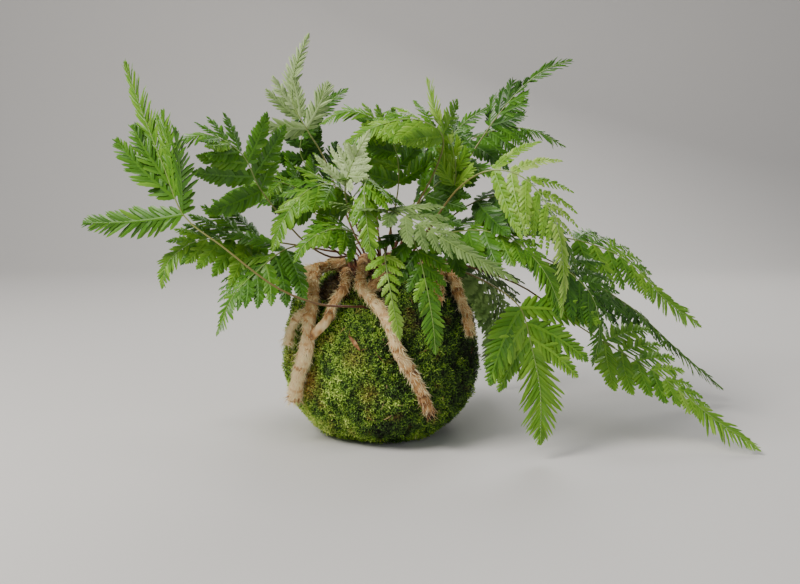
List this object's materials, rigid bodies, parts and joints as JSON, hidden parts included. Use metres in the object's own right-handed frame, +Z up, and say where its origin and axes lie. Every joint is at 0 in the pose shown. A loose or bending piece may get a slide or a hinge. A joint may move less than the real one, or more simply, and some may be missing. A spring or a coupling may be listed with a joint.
{
  "type": "kokedama moss ball plant",
  "caption": "Rabbit's-foot fern growing from a ball of soil wrapped in living moss, with furry rhizomes creeping over the moss and arching cut fronds.",
  "frame": {"origin": "middle of the small flat spot under the moss ball, on the surface that it stands on", "axes": "+Z up through the ball, +X to the right along the plant's longest spread, -Y the front"},
  "size_m": [0.4397, 0.2387, 0.2671],
  "materials": {
    "moss": "living moss, matt and velvety",
    "soil": "damp peaty soil, crumbly",
    "rhizome": "woody creeping stem under a felt of pale tan hair",
    "frond": "thin satin leaf, paler underneath, on a wiry brown to green stalk"
  },
  "bodies": {
    "root": {"moss_wrap": "moss", "soil_ball": "soil", "rhizome_back": "rhizome", "rhizome_front": "rhizome", "rhizome_left": "rhizome", "rhizome_right": "rhizome", "frond_back_left": "frond", "frond_back_low": "frond", "frond_back_right_low": "frond", "frond_back_up": "frond", "frond_centre_back": "frond", "frond_centre_left": "frond", "frond_centre_low": "frond", "frond_centre_mid": "frond", "frond_centre_right": "frond", "frond_centre_up": "frond", "frond_dark_spire": "frond", "frond_front_centre": "frond", "frond_front_hang": "frond", "frond_front_left": "frond", "frond_left_canopy": "frond", "frond_left_droop": "frond", "frond_left_high": "frond", "frond_left_low": "frond", "frond_left_mid": "frond", "frond_pale_spray": "frond", "frond_right_arch": "frond", "frond_right_back": "frond", "frond_right_far": "frond", "frond_right_front": "frond", "frond_right_hang": "frond", "frond_right_inner": "frond", "frond_right_level": "frond", "frond_right_low": "frond", "frond_right_mid": "frond", "frond_top_arch": "frond", "frond_top_left": "frond", "frond_top_right": "frond", "frond_upright": "frond"}
  },
  "joints": []
}
